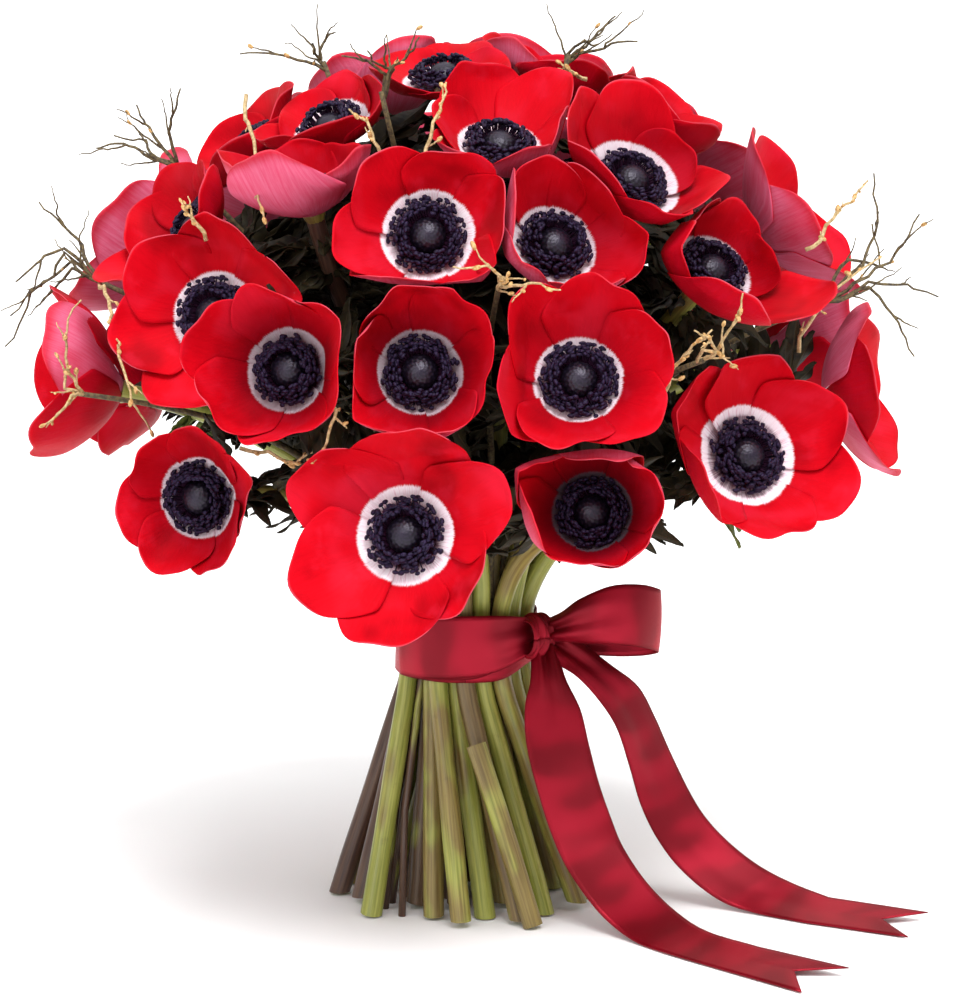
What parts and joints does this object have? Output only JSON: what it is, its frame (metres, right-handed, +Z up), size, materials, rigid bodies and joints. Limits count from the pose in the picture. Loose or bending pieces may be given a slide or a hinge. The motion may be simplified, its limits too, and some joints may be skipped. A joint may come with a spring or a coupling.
{
  "type": "anemone bouquet",
  "caption": "Hand-tied bouquet of red anemones with dark eyes, brown filler twigs and a crimson satin bow, standing on its cut stems.",
  "frame": {"origin": "on the floor, on the axis of the bundle of stems at the middle of its cut ends", "axes": "+Z up along the bundle, -Y towards the viewer of the picture, +X to the viewer's right"},
  "size_m": [0.3666, 0.3453, 0.3553],
  "materials": {
    "petals": null,
    "eyes": null,
    "stems": null,
    "twigs": "dry bark",
    "ribbon": "satin"
  },
  "bodies": {
    "root": {"bloom_01": "petals", "eye_01": "eyes", "bloom_02": "petals", "eye_02": "eyes", "bloom_03": "petals", "bloom_04": "petals", "bloom_05": "petals", "eye_05": "eyes", "bloom_06": "petals", "eye_06": "eyes", "bloom_07": "petals", "eye_07": "eyes", "bloom_08": "petals", "eye_08": "eyes", "bloom_09": "petals", "eye_09": "eyes", "bloom_10": "petals", "eye_10": "eyes", "bloom_11": "petals", "eye_11": "eyes", "bloom_12": "petals", "eye_12": "eyes", "bloom_13": "petals", "bloom_14": "petals", "eye_14": "eyes", "bloom_15": "petals", "eye_15": "eyes", "bloom_16": "petals", "bloom_17": "petals", "bloom_18": "petals", "bloom_19": "petals", "bloom_20": "petals", "bloom_21": "petals", "bloom_22": "petals", "bloom_23": "petals", "bloom_24": "petals", "bloom_25": "petals", "bloom_26": "petals", "bloom_27": "petals", "bloom_28": "petals", "bloom_29": "petals", "bloom_30": "petals", "bloom_31": "petals", "bloom_32": "petals", "bloom_33": "petals", "bloom_34": "petals", "bloom_35": "petals", "bloom_36": "petals", "stems": "stems", "ribbon": "ribbon", "twigs_left": "twigs", "twigs_upper_left": "twigs", "twigs_low_left": "twigs", "twigs_top_left": "twigs", "twigs_upper_front": "twigs", "twigs_centre": "twigs", "twigs_front_right": "twigs", "twigs_right": "twigs", "twigs_top_right": "twigs", "twigs_back": "twigs"}
  },
  "joints": []
}
